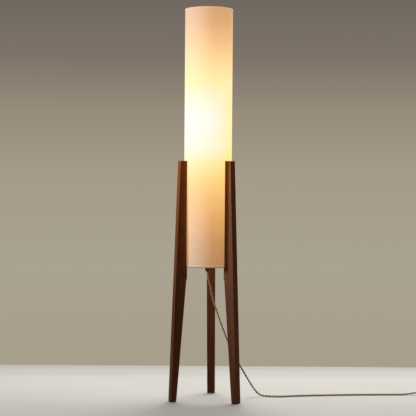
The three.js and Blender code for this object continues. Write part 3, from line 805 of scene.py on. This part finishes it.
def arm_outline():
    """Section of an arm: flat from the hub, then bent up into its tab."""
    outer, inner = [(15, ARM_LOW)], [(15, ARM_LOW + ARM_T)]
    for k in range(7):
        angle = pi / 2 * (k / 6 - 1)
        for edge, radius in ((outer, ARM_BEND), (inner, ARM_BEND - ARM_T)):
            edge.append((TAB_OUT - ARM_BEND + radius * cos(angle),
                         ARM_LOW + ARM_BEND + radius * sin(angle)))
    return [*outer, (TAB_OUT, TAB_TOP), (TAB_OUT - ARM_T, TAB_TOP), *inner[::-1]]


hub = lathe(rounded(rectangle(STEM_HOLE, PLATE_LOW, HUB_R, PLATE_TOP), 0.4), 64, upright())
arms = [extruded(arm_outline(), -ARM_W / 2, ARM_W / 2, on_leg(turn)) for turn in LEG_TURNS.values()]
piece("spider_plate", shells(hub, *arms), STEEL, ["spider"], bevel=0.25)


def round_skin(radius_at, low, high, rows, sides):
    """A round skin, open at its ends, whose radius is given at each angle and height."""
    verts = []
    for row in range(rows + 1):
        z = low + (high - low) * row / rows
        for k in range(sides):
            angle = TAU * k / sides
            r = radius_at(angle, z)
            verts.append(lamp(r * cos(angle), r * sin(angle), z))
    return verts, skin(rows + 1, sides)


def stem_radius(angle, z):
    """A thread of 1 mm pitch, plain at both ends."""
    thread = min(1.0, z - STEM_LOW, STEM_TOP - z)
    return 4.72 + 0.28 * max(0.0, thread) * cos(TAU * (z - angle / TAU))


outside = round_skin(stem_radius, STEM_LOW, STEM_TOP, STEM_ROWS, STEM_SIDES)
inside = round_skin(lambda angle, z: 3.9, STEM_LOW, STEM_TOP, 1, STEM_SIDES)
verts, faces = shells(outside, inside)
faces += band(0, len(outside[0]), STEM_SIDES)
faces += band(len(outside[0]) - STEM_SIDES, len(verts) - STEM_SIDES, STEM_SIDES)
piece("stem_rod", (verts, faces), STEEL, ["stem_tube"], crease=75)


def nut(low, flats=14.0, height=4.2, sides=24):
    """A hexagonal nut whose corners are chamfered at both faces."""
    face_r = 0.47 * flats
    rings = [[(x, y, z) for x, y in circle(radius, sides)]
             for radius, z in ((STEM_HOLE, 0.5), (STEM_HOLE + 0.5, 0), (face_r, 0))]
    rings.append([(x, y, max(0.0, hypot(x, y) - face_r) * 0.58)
                  for x, y in hexagon(flats / sqrt(3), sides)])
    rings += [[(x, y, height - z) for x, y, z in ring] for ring in rings[::-1]]
    verts = [lamp(x, y, low + z) for ring in rings for x, y, z in ring]
    return verts, skin(len(rings), sides, closed=True)


for end in ("lower", "upper"):
    node = f"stem_nut_{end}"
    piece(f"hex_nut_{end}", nut(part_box(node)[0][2] / MM), BRASS, [node], crease=25)

# ---- lead, cores and cord grip ----
LEAD_LOW, LEAD_H, LEAD_STEPS = 396.5, 355.5, 250
lead_path = [lamp(0, 0, LEAD_LOW + LEAD_H * k / LEAD_STEPS) for k in range(LEAD_STEPS + 1)]
cord_piece("lead_braid", lead_path, ["stem_lead"])
for core, side in (("live", 1), ("neutral", -1)):
    route = [lamp(side * x, 0, z) for x, z in ((1.4, 752.3), (2.4, 755), (5, 758.5), (6, 761.7))]
    piece(f"core_wire_{core}", wire(smooth_path(route, 0.6), 1.1, 14), CORE,
          [f"core_{core}"], crease=60)

grip_outline = [(3.3, 396.5), (5.2, 396.5), (6.6, 400.5), (6.6, 402.2), (6.3, 402.6), (6.3, 403.4),
                (6.6, 403.8), (6.6, 411.4), (5.3, 411.4), (5.3, 403.5), (3.3, 403.5)]
piece("grip", lathe(rounded(grip_outline, 0.5), 48, upright()), BLACK,
      ["cord_grip"])

# ---- lampholder ----
E27_PITCH = 3.629
SHELL_SIDES = 48
RIBS, RIB_DEPTH, RIB_LOW, RIB_TOP = 40, 0.5, 763.5, 786.5
BODY_R = 20.0


def ribbed(angle, r, z):
    """Shallow upright ribs on the outside of the lampholder's body."""
    if r < BODY_R - 1 or not RIB_LOW <= z <= RIB_TOP:
        return r
    return r - RIB_DEPTH * (0.5 + 0.5 * cos(RIBS * angle))


cap_outline = [(5.3, 734), (8.5, 734), (8.5, 743), (17, 746), (BODY_R, 750), (BODY_R, 760),
               (18, 760), (18, 751), (8, 747.5), (5.3, 747.5)]
piece("holder_cap_shell", lathe(rounded(cap_outline, 0.9, 4), 96, upright()), PHENOLIC,
      ["holder_cap"])
body_outline = [(18, 760.3), (BODY_R, 760.3), (BODY_R, RIB_LOW - 0.5), (BODY_R, RIB_LOW + 0.5),
                (BODY_R, RIB_TOP - 0.5), (BODY_R, RIB_TOP + 0.5), (BODY_R, 804), (19, 806),
                (16.5, 806), (16.5, 804), (18, 802)]
piece("holder_body_shell", lathe(rounded(body_outline, 0.4, 2), 240, upright(), ribbed), PHENOLIC,
      ["holder_body"])
piece("insulator", lathe(rounded(rectangle(0, 762, 17.5, 771), 0.6), 48, upright()), CERAMIC,
      ["holder_insert"])


def threaded_skin(middle, depth, low, high, each=10):
    """A rolled thread: a skin that waves in and out along a helix, plain at its ends."""
    def radius(angle, z):
        plain = min(1.0, (z - low) / 2.5, (high - z) / 2.5)
        return middle + depth * max(0.0, plain) * cos(TAU * (z / E27_PITCH - angle / TAU))
    return round_skin(radius, low, high, round((high - low) / E27_PITCH * each), SHELL_SIDES)


verts, faces = shells(*(threaded_skin(r, 0.3, 771.3, 799) for r in (14.55, 14.05)))
half = len(verts) // 2
for ring in (0, half - SHELL_SIDES):
    faces += band(ring, half + ring, SHELL_SIDES)
piece("screw_shell", (verts, faces), BRASS, ["holder_screw_shell"], crease=50)

leaf = [(-9, 771.3), (9, 771.3), (9, 772), (-2, 772), (2.5, 775), (6, 775), (6, 775.7),
        (2.2, 775.7), (-4, 772), (-9, 772)]
piece("contact_leaf", extruded(leaf, -2.5, 2.5, lambda x, z, y: lamp(x, y, z)), BRASS,
      ["holder_contact"], bevel=0.12)

# ---- bulb ----
GLOBE_R, GLOBE_MIDDLE = 30.0, 852.0
NECK_R, NECK_Z = 12.9, 803.6
verts, faces = threaded_skin(12.72, 0.38, 781.5, 800, each=12)
for ring, levels in ((0, [(11.8, 780.6), (11.0, 780.3)]),
                     (len(verts) - SHELL_SIDES, [(13.1, 801), (13.1, 803.1), (12.9, 803.3)])):
    for radius, z in levels:
        faces += band(ring, len(verts), SHELL_SIDES)
        ring = len(verts)
        verts += [lamp(x, y, z) for x, y in circle(radius, SHELL_SIDES)]
    faces.append(list(range(ring, ring + SHELL_SIDES)))
piece("bulb_screw_cap", (verts, faces), NICKEL, ["bulb_cap"], "bulb", crease=50)

DISC_R, DISC_Z = 4.7, 777.1  # the contact's metal is within this radius or below this height
foot_outline = [(0, 776), (3.2, 776), (4, 776.3), (4.4, 777), (5, 777.4), (7, 777.6), (10.5, 780),
                (0, 780)]
foot_contact = piece("bulb_foot_contact", lathe(foot_outline, 48, upright()), [NICKEL, PHENOLIC],
                     ["bulb_contact"], "bulb_foot")
for face in foot_contact.data.polygons:
    reach = (face.center.xy - AXIS).length / MM
    face.material_index = int(reach > DISC_R and face.center.z > DISC_Z * MM)


def globe_outline():
    """Half the globe's section: a neck that curves into a sphere."""
    start = radians(-30)
    join = Vector((GLOBE_R * cos(start), GLOBE_MIDDLE + GLOBE_R * sin(start)))
    neck = Vector((NECK_R, NECK_Z))
    outline = [(0.0, NECK_Z)]
    for k in range(16):
        t = k / 16
        outline.append(tuple(neck * (1 - t) ** 3 + (neck + Vector((0, 14))) * 3 * t * (1 - t) ** 2
                             + (join + Vector((-8, -14))) * 3 * t * t * (1 - t) + join * t ** 3))
    for k in range(28):
        angle = start + (pi / 2 - start) * k / 28
        outline.append((GLOBE_R * cos(angle), GLOBE_MIDDLE + GLOBE_R * sin(angle)))
    return [*outline, (0.0, GLOBE_MIDDLE + GLOBE_R)]


piece("globe", lathe(globe_outline(), 64, upright()), OPAL, ["bulb_globe"], "bulb")

# ---- foot switch ----
SWITCH = (750, 86)
SWITCH_L, SWITCH_W, SWITCH_CORNER, SWITCH_TOP = 84.0, 36.0, 17.0, 24.0
CORNER_STEPS = 12
FILLET = 3.5


def stadium(inset):
    """Points round the switch's outline, moved inwards by inset."""
    x, y = SWITCH_L / 2 - inset, SWITCH_W / 2 - inset
    return round_rectangle(-x, -y, x, y, SWITCH_CORNER - inset, CORNER_STEPS)


def round_hole(radius):
    """Points round the button's hole, each in line with one of the switch's outline."""
    return [(radius * x / hypot(x, y), radius * y / hypot(x, y)) for x, y in stadium(0)]


def stacked(rings):
    """A skin through rings of as many points. Each ring is (points, height)."""
    verts = [lamp(SWITCH[0] + x, SWITCH[1] + y, z) for points, z in rings for x, y in points]
    return verts, skin(len(rings), len(rings[0][0]))


verts, faces = stacked([
    (stadium(1.6), 0), (stadium(0.7), 0.25), (stadium(0.2), 0.8), (stadium(0), 1.6),
    (stadium(0), 14.2), (stadium(0.3), 14.8), (stadium(0.6), 15), (stadium(2.0), 15),
    (stadium(2.2), 14.8), (stadium(2.2), 3)])
faces += caps(len(verts), len(stadium(0)))
switch_base = piece("switch_lower_shell", (verts, faces), BLACK, ["switch_base"])

top_edge = [(stadium(FILLET * (1 - cos(a))), SWITCH_TOP - FILLET * (1 - sin(a)))
            for a in (radians(15 * k) for k in range(7))]
cover = stacked([
    (stadium(0.5), 15.3), (stadium(0.1), 15.7), *top_edge, (round_hole(13.4), SWITCH_TOP),
    (round_hole(12.9), 23.8), (round_hole(12.5), 23.4), (round_hole(12.4), 22),
    (stadium(3.6), 22), (stadium(2.4), 21), (stadium(2.2), 15.3), (stadium(0.5), 15.3)])
switch_cover = piece("switch_upper_shell", cover, BLACK, ["switch_cover"])

for number, (x, y) in enumerate(((-28, 11), (28, -11)), 1):
    screw = socket_screw(18.7, 2.9, 1.4, 1.4, upright(SWITCH[0] + x, SWITCH[1] + y, 0.3))
    piece(f"switch_fixing_{number}", screw, STEEL,
                               [f"switch_screw_{number}"])
box_low, box_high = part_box("switch_module")
block = extruded(rectangle(*box_low[:2], *box_high[:2]), box_low[2], box_high[2],
                 lambda x, y, z: Vector((x, y, z)))
switch_module = piece("switch_block", block, PHENOLIC, ["switch_module"],
                      bevel=0.6, segments=3)

button_outline = [
    (0, 26), (9.6, 26), (10, 25.6), (10, 20), (13.4, 20), (13.6, 20.2), (13.6, 21.5), (13.4, 21.7),
    (12, 21.7), (12, 26.4), (11.85, 26.9), (11.4, 27.3), (10.6, 27.55), (9.4, 27.65),
    (8.6, 27.35), (8.2, 27.35), (7.5, 27.7), (5, 27.9), (2, 28), (0, 28)]
switch_button = piece("button", lathe(button_outline, 64, upright(*SWITCH)), BLACK,
                      ["switch_button"], "switch_button")

SPRING_TURNS, SPRING_R, SPRING_WIRE = 4.5, 6.0, 0.6
SPRING_LOW, SPRING_H = 8.9, 16.2  # at the middle of the wire
SPRING_STEPS = 180
spring_path = []
for k in range(SPRING_STEPS + 1):
    angle = TAU * SPRING_TURNS * k / SPRING_STEPS
    spring_path.append(lamp(SWITCH[0] + SPRING_R * cos(angle), SWITCH[1] + SPRING_R * sin(angle),
                            SPRING_LOW + SPRING_H * k / SPRING_STEPS))
switch_spring = piece("button_spring", wire(spring_path, SPRING_WIRE, 10), STEEL,
                      ["switch_spring"], crease=60)
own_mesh(switch_spring)


def grooved(start, end, first_r, last_r, grooves=6, depth=0.45):
    """Points down a tapered sleeve with round grooves."""
    out = []
    for k in range(grooves * 6 + 1):
        share = k / (grooves * 6)
        wave = 0.5 - 0.5 * cos(TAU * share * grooves)
        radius = first_r + (last_r - first_r) * share - depth * wave
        out.append((radius, start + (end - start) * share))
    return out


# A strain relief from height 0: a flange, then a tapered and grooved tail.
sleeve_outline = [(3.3, -4), (4.1, -4), (4.1, 0), (5.6, 0), (6, 0.4), (6, 2.6), (5.6, 3.1),
                  *grooved(3.6, 22.8, 5.3, 4.5), (4.2, 24.5), (3.8, 25), (3.3, 25)]
for side, facing in (("in", -1), ("out", 1)):
    place = lying(SWITCH[0] + facing * (SWITCH_L / 2 + 0.3), SWITCH[1], 9, facing)
    piece(f"sleeve_{side}", lathe(sleeve_outline, 40, place), RUBBER,
                                [f"switch_sleeve_{side}"])

# ---- coil tie ----
TIE_T, TIE_CORNER = 1.1, 4.2
tie_low, tie_high = (Vector(corner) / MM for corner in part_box("cord_tie"))


def tie_loop(inset):
    """A rounded rectangle in X and Z round the coil's turns."""
    return round_rectangle(tie_low.x + inset, tie_low.z + inset, tie_high.x - inset,
                           tie_high.z - inset, TIE_CORNER - inset, 6)


loops = [(tie_loop(0), tie_low.y), (tie_loop(0), tie_high.y), (tie_loop(TIE_T), tie_high.y),
         (tie_loop(TIE_T), tie_low.y)]
verts = [Vector((x, y, z)) * MM for points, y in loops for x, z in points]
tie = piece("coil_tie", (verts, skin(4, len(loops[0][0]), closed=True)), RUBBER,
            ["cord_tie"], bevel=0.25)

# ---- plug ----
PLUG = (820, 19.6, 7)
PLUG_SIDES = 40
PIN_OUT = 9.3  # from the plug's middle to a pin's
RIDGE = 1.3  # from one row of points on the grip's ridges to the next


def plug_section(width, height, power):
    """A rounded section as (y, z), from an ellipse at power 2 towards a rectangle."""
    return [(width * copysign(abs(x) ** (2 / power), x),
             height * copysign(abs(y) ** (2 / power), y)) for x, y in circle(1, PLUG_SIDES)]


sections = [(0, 5.2, 4.6, 2), (0.4, 6.4, 5.4, 2.1), (1.4, 7.4, 5.9, 2.2)]
for k in range(1, 13):  # a tapered rear half with grip ridges
    swell = 0.5 - 0.5 * cos(TAU * k / 3)
    sections.append((1.4 + RIDGE * k, 7.6 + 0.42 * k - 0.5 * swell, 5.9 + 0.05 * k - 0.3 * swell,
                     2.3 + 0.06 * k))
sections += [(20, 13.6, 6.6, 3.2), (23, 15.6, 6.9, 3.4), (26, 17, 7, 3.6), (29, 17.5, 7, 3.7),
             (33, 17.5, 7, 3.7), (35, 17.1, 6.7, 3.7), (35.8, 16.3, 6.1, 3.6), (36, 15.4, 5.4, 3.5)]
verts = [lamp(PLUG[0] - depth, PLUG[1] + y, PLUG[2] + z)
         for depth, *section in sections for y, z in plug_section(*section)]
faces = [*skin(len(sections), PLUG_SIDES), *caps(len(verts), PLUG_SIDES)]
plug = piece("plug_shell", (verts, faces), BLACK, ["plug_body"], crease=50)

pin_outline = [(0, 0), (2, 0), (2, 23.2), (1.8, 23.9), (1.4, 24.4), (0.8, 24.65), (0, 24.7)]
for side, y in (("left", PIN_OUT), ("right", -PIN_OUT)):
    pin = lathe(pin_outline, 24, lying(PLUG[0] - 30.3, PLUG[1] + y, PLUG[2], -1))
    piece(f"pin_{side}", pin, BRASS, [f"plug_pin_{side}"])
relief_outline = [(3.3, 0.3), (5.6, 0.3), (6, 0.7), (6, 3.6), (5.7, 4),
                  *grooved(4.4, 25.8, 5.4, 4.5), (4.2, 27.5), (3.8, 28), (3.3, 28)]
plug_relief = piece("plug_sleeve", lathe(relief_outline, 40, lying(*PLUG)), RUBBER,
                    ["plug_strain_relief"])


# ---- floor and background, in metres ----
FLOOR_SIDE = 3.0
FLOOR_GAP = 0.0001  # below the glides
FLOOR_BACK = AXIS.y + 0.63
FLOOR_SHADED = 1.2  # how far from the back its light changes
# The floor's light by the share of that way: it dims at the wall and a little in front.
FLOOR_LIGHT = [(0.0, 0.88), (0.35, 0.9), (0.52, 0.98), (0.62, 1.0), (0.76, 0.99), (0.88, 0.86),
               (1.0, 0.72)]
# The wall behind is a soft gradient of painted light and shade, darker high up, from low in the
# view (0) to high (1).
WALL_TONES = [(0.1, "a79e8b"), (0.3, "aba391"), (0.5, "a49b89"), (0.63, "968c7b"),
              (0.74, "7d7369"), (0.86, "70685f")]
WALL_REACH = 0.2  # the rise of a line of sight that sees the gradient's ends
AMBIENT, AMBIENT_STRENGTH = (1.0, 0.99, 0.96, 1), 0.13


def floor_material():
    m = Surface("floor", Roughness=0.8, Specular_IOR_Level=0.0)
    pale = m.ramp(m.noise(m.shape(), 1.6, 4, 0.55), [(0.3, srgb("d6d5d1")), (0.7, srgb("dad9d5"))])
    light = m.levels(m.share(1, FLOOR_BACK - FLOOR_SHADED, FLOOR_BACK), FLOOR_LIGHT, smooth=True)
    m.set("Base Color", m.times(pale, light))
    return m.material


floor_mesh = bpy.data.meshes.new("floor")
corners = rectangle(-FLOOR_SIDE, -FLOOR_SIDE, FLOOR_SIDE, FLOOR_BACK)
floor_mesh.from_pydata([(x, y, 0) for x, y in corners], [], [(0, 1, 2, 3)])
floor_mesh.materials.append(floor_material())
floor = placed("floor", floor_mesh)
floor.location.z = -FLOOR_GAP
floor.visible_diffuse = False

world = bpy.data.worlds.new("studio")
scene.world = world
sky = Tree(world)
gaze = sky.add("SeparateXYZ", {0: sky.add("TexCoord").outputs["Generated"]}).outputs[2]
rise = sky.add("MapRange", {0: gaze, 1: -WALL_REACH, 2: WALL_REACH}).outputs[0]
wall = sky.ramp(rise, [(place, srgb(code)) for place, code in WALL_TONES], False)
ambient = sky.tree.nodes["Background"]
sky.join(AMBIENT, ambient.inputs["Color"])
sky.join(AMBIENT_STRENGTH, ambient.inputs["Strength"])
# The camera sees the wall, and the surfaces get the dim ambient light.
choice = sky.add("MixShader", {0: sky.add("LightPath").outputs["Is Camera Ray"],
                               1: ambient.outputs[0],
                               2: sky.add("Background", {"Color": wall}).outputs[0]})
sky.join(choice.outputs[0], sky.tree.nodes["World Output"].inputs[0])


# ---- lights, in metres ----
def light(name, kind, at, target, power, colour, **settings):
    data = bpy.data.lights.new(name, kind)
    data.energy = power
    data.color = colour
    for key, value in settings.items():
        setattr(data, key, value)
    made = placed(name, data)
    made.location = at
    made.rotation_euler = (Vector(target) - Vector(at)).to_track_quat("-Z", "Y").to_euler()


light("key", "SPOT", (-3.33, -0.71, 1.15), (0, 0, 0.78), 480, (0.97, 0.98, 1.0),
      spot_size=radians(26), spot_blend=1.0, shadow_soft_size=0.3)
light("fill", "AREA", (-0.6, -4.2, 0.5), (0, 0, 0.4), 15, (0.9, 1.0, 1.15), shape="DISK", size=1.5)
light("overhead", "AREA", (0.3, 1.6, 3.2), (0, 0, 0), 140, (1.0, 0.98, 0.94),
      shape="DISK", size=3.0)
scene.view_settings.view_transform = "Standard"
